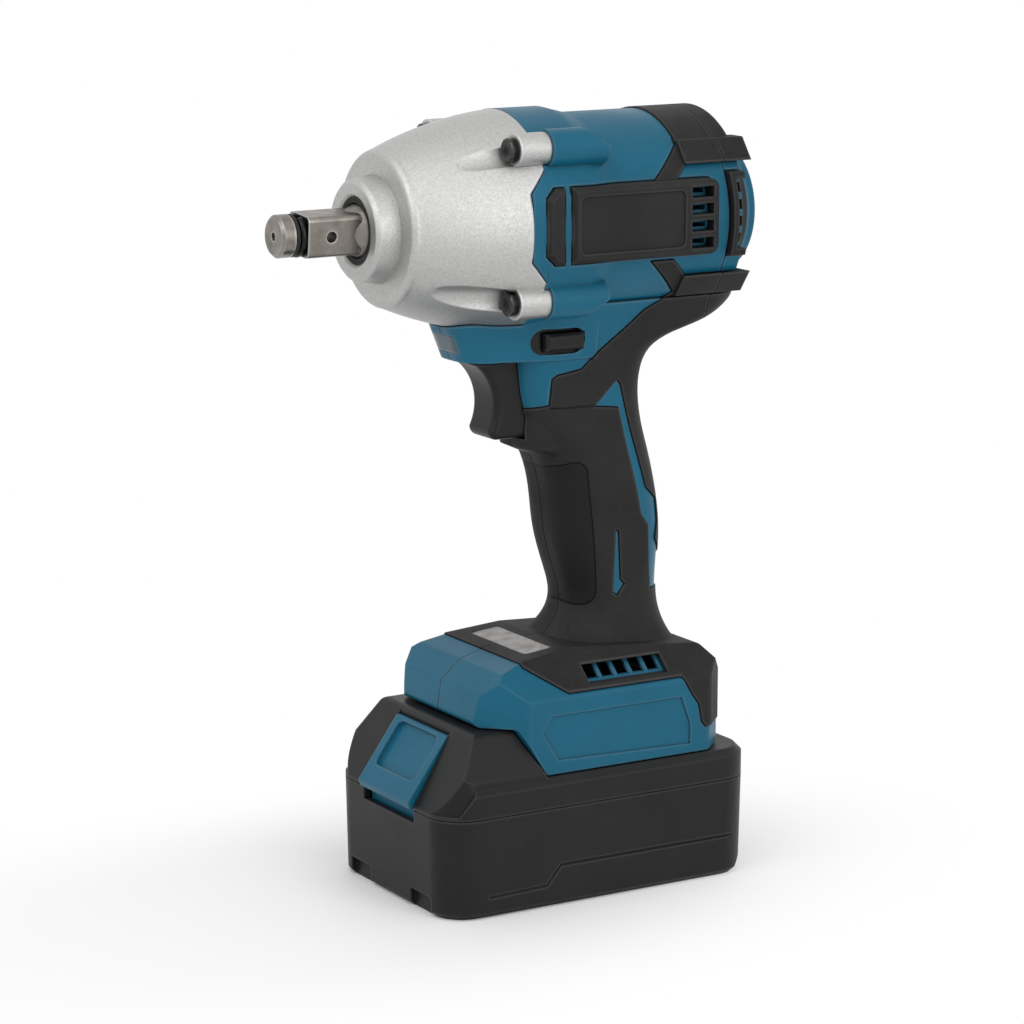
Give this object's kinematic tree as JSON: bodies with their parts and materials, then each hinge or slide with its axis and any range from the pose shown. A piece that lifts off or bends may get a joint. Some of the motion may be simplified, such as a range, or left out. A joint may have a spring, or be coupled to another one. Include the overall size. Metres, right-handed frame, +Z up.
{
  "type": "cordless impact wrench",
  "caption": "Pistol-grip cordless impact wrench with a half-inch square drive, cast nose, moulded housing with rubber grip, trigger, selector and slide-on battery.",
  "frame": {"origin": "centre of the battery's underside, on which the tool stands", "axes": "+X the way the square drive points, +Y the tool's left side, +Z up"},
  "size_m": [0.1621, 0.075, 0.2482],
  "materials": {
    "teal_plastic": "fine satin moulding",
    "charcoal_rubber": "fine matte grain",
    "cast_aluminium": "bead-blasted casting",
    "drive_steel": "dark phosphate",
    "plain_steel": "plain",
    "bronze": "sintered",
    "copper": "bare",
    "black_plastic": "fine satin moulding",
    "circuit_board": "lacquered",
    "light_window": "clear moulding",
    "display_window": "smooth smoked panel",
    "cell_can": "sleeved"
  },
  "bodies": {
    "body": {"left_housing": "teal_plastic", "right_housing": "teal_plastic", "housing_screws": "plain_steel", "left_overmould": "charcoal_rubber", "right_overmould": "charcoal_rubber", "rear_cover": "teal_plastic", "rear_bumper": "charcoal_rubber", "hammer_case": "cast_aluminium", "hammer_case_screws": "plain_steel", "front_bush": "bronze", "nose_seal": "charcoal_rubber", "ring_gear": "drive_steel", "gearbox_plate": "cast_aluminium", "spindle_bearing": "plain_steel", "front_motor_bearing": "plain_steel", "rear_motor_bearing": "plain_steel", "stator_core": "plain_steel", "stator_coils": "copper", "sensor_board": "circuit_board", "switch_body": "black_plastic", "trigger_spring": "plain_steel", "controller": "black_plastic", "terminal_block": "black_plastic", "terminal_blades": "copper", "light_lens": "light_window", "light_board": "circuit_board", "display_lens": "display_window", "display_board": "circuit_board"},
    "spindle": {"spindle": "drive_steel", "planet_pins": "drive_steel", "cam_balls": "plain_steel", "hammer_spring": "plain_steel"},
    "hammer": {"hammer": "drive_steel"},
    "anvil": {"anvil": "drive_steel", "anvil_o_ring": "charcoal_rubber", "friction_ring": "plain_steel"},
    "rotor": {"rotor_shaft": "drive_steel", "rotor_core": "plain_steel", "rotor_magnets": "plain_steel", "cooling_fan": "black_plastic"},
    "planet_1": {"planet_gear_1": "drive_steel"},
    "planet_2": {"planet_gear_2": "drive_steel"},
    "planet_3": {"planet_gear_3": "drive_steel"},
    "trigger": {"trigger": "black_plastic"},
    "selector": {"selector": "black_plastic"},
    "battery": {"battery_lower_case": "black_plastic", "battery_upper_case": "black_plastic", "battery_cells": "cell_can", "cell_plates": "black_plastic", "battery_board": "circuit_board", "battery_terminals": "copper", "battery_screws": "plain_steel", "button_spring": "plain_steel"},
    "release_button": {"release_button": "teal_plastic"}
  },
  "joints": [
    {"name": "drive_spin", "type": "hinge", "parent": "body", "child": "spindle", "pos_m": [0, 0, 0.2133], "axis": [1, 0, 0], "continuous": true},
    {"name": "anvil_spin", "type": "hinge", "parent": "body", "child": "anvil", "pos_m": [0, 0, 0.2133], "axis": [1, 0, 0], "continuous": true},
    {"name": "rotor_spin", "type": "hinge", "parent": "body", "child": "rotor", "pos_m": [0, 0, 0.2133], "axis": [1, 0, 0], "continuous": true},
    {"name": "hammer_retract", "type": "slide", "parent": "spindle", "child": "hammer", "axis": [-1, 0, 0], "range_m": [0, 0.009], "stiffness_N_per_m": 3000, "springref_m": -0.004, "deforming": ["hammer_spring"]},
    {"name": "trigger_pull", "type": "slide", "parent": "body", "child": "trigger", "axis": [-1, 0, 0], "range_m": [0, 0.007], "stiffness_N_per_m": 700, "springref_m": -0.003, "deforming": ["trigger_spring"]},
    {"name": "selector_slide", "type": "slide", "parent": "body", "child": "selector", "axis": [0, 1, 0], "range_m": [-0.003, 0.003]},
    {"name": "battery_slide", "type": "slide", "parent": "body", "child": "battery", "axis": [1, 0, 0], "range_m": [0, 0.12]},
    {"name": "button_press", "type": "slide", "parent": "battery", "child": "release_button", "axis": [0, 0, -1], "range_m": [0, 0.0035], "stiffness_N_per_m": 500, "springref_m": -0.002, "deforming": ["button_spring"]},
    {"name": "planet_1_spin", "type": "hinge", "parent": "spindle", "child": "planet_1", "pos_m": [0.005, 0.0135, 0.2133], "axis": [1, 0, 0], "continuous": true},
    {"name": "planet_2_spin", "type": "hinge", "parent": "spindle", "child": "planet_2", "pos_m": [0.005, -0.00675, 0.22499], "axis": [1, 0, 0], "continuous": true},
    {"name": "planet_3_spin", "type": "hinge", "parent": "spindle", "child": "planet_3", "pos_m": [0.005, -0.00675, 0.20161], "axis": [1, 0, 0], "continuous": true}
  ],
  "couplings": [
    {"joint": "anvil_spin", "follows": "drive_spin", "ratio": 1},
    {"joint": "rotor_spin", "follows": "drive_spin", "ratio": 4.5},
    {"joint": "planet_1_spin", "follows": "drive_spin", "ratio": -2.8},
    {"joint": "planet_2_spin", "follows": "drive_spin", "ratio": -2.8},
    {"joint": "planet_3_spin", "follows": "drive_spin", "ratio": -2.8}
  ]
}
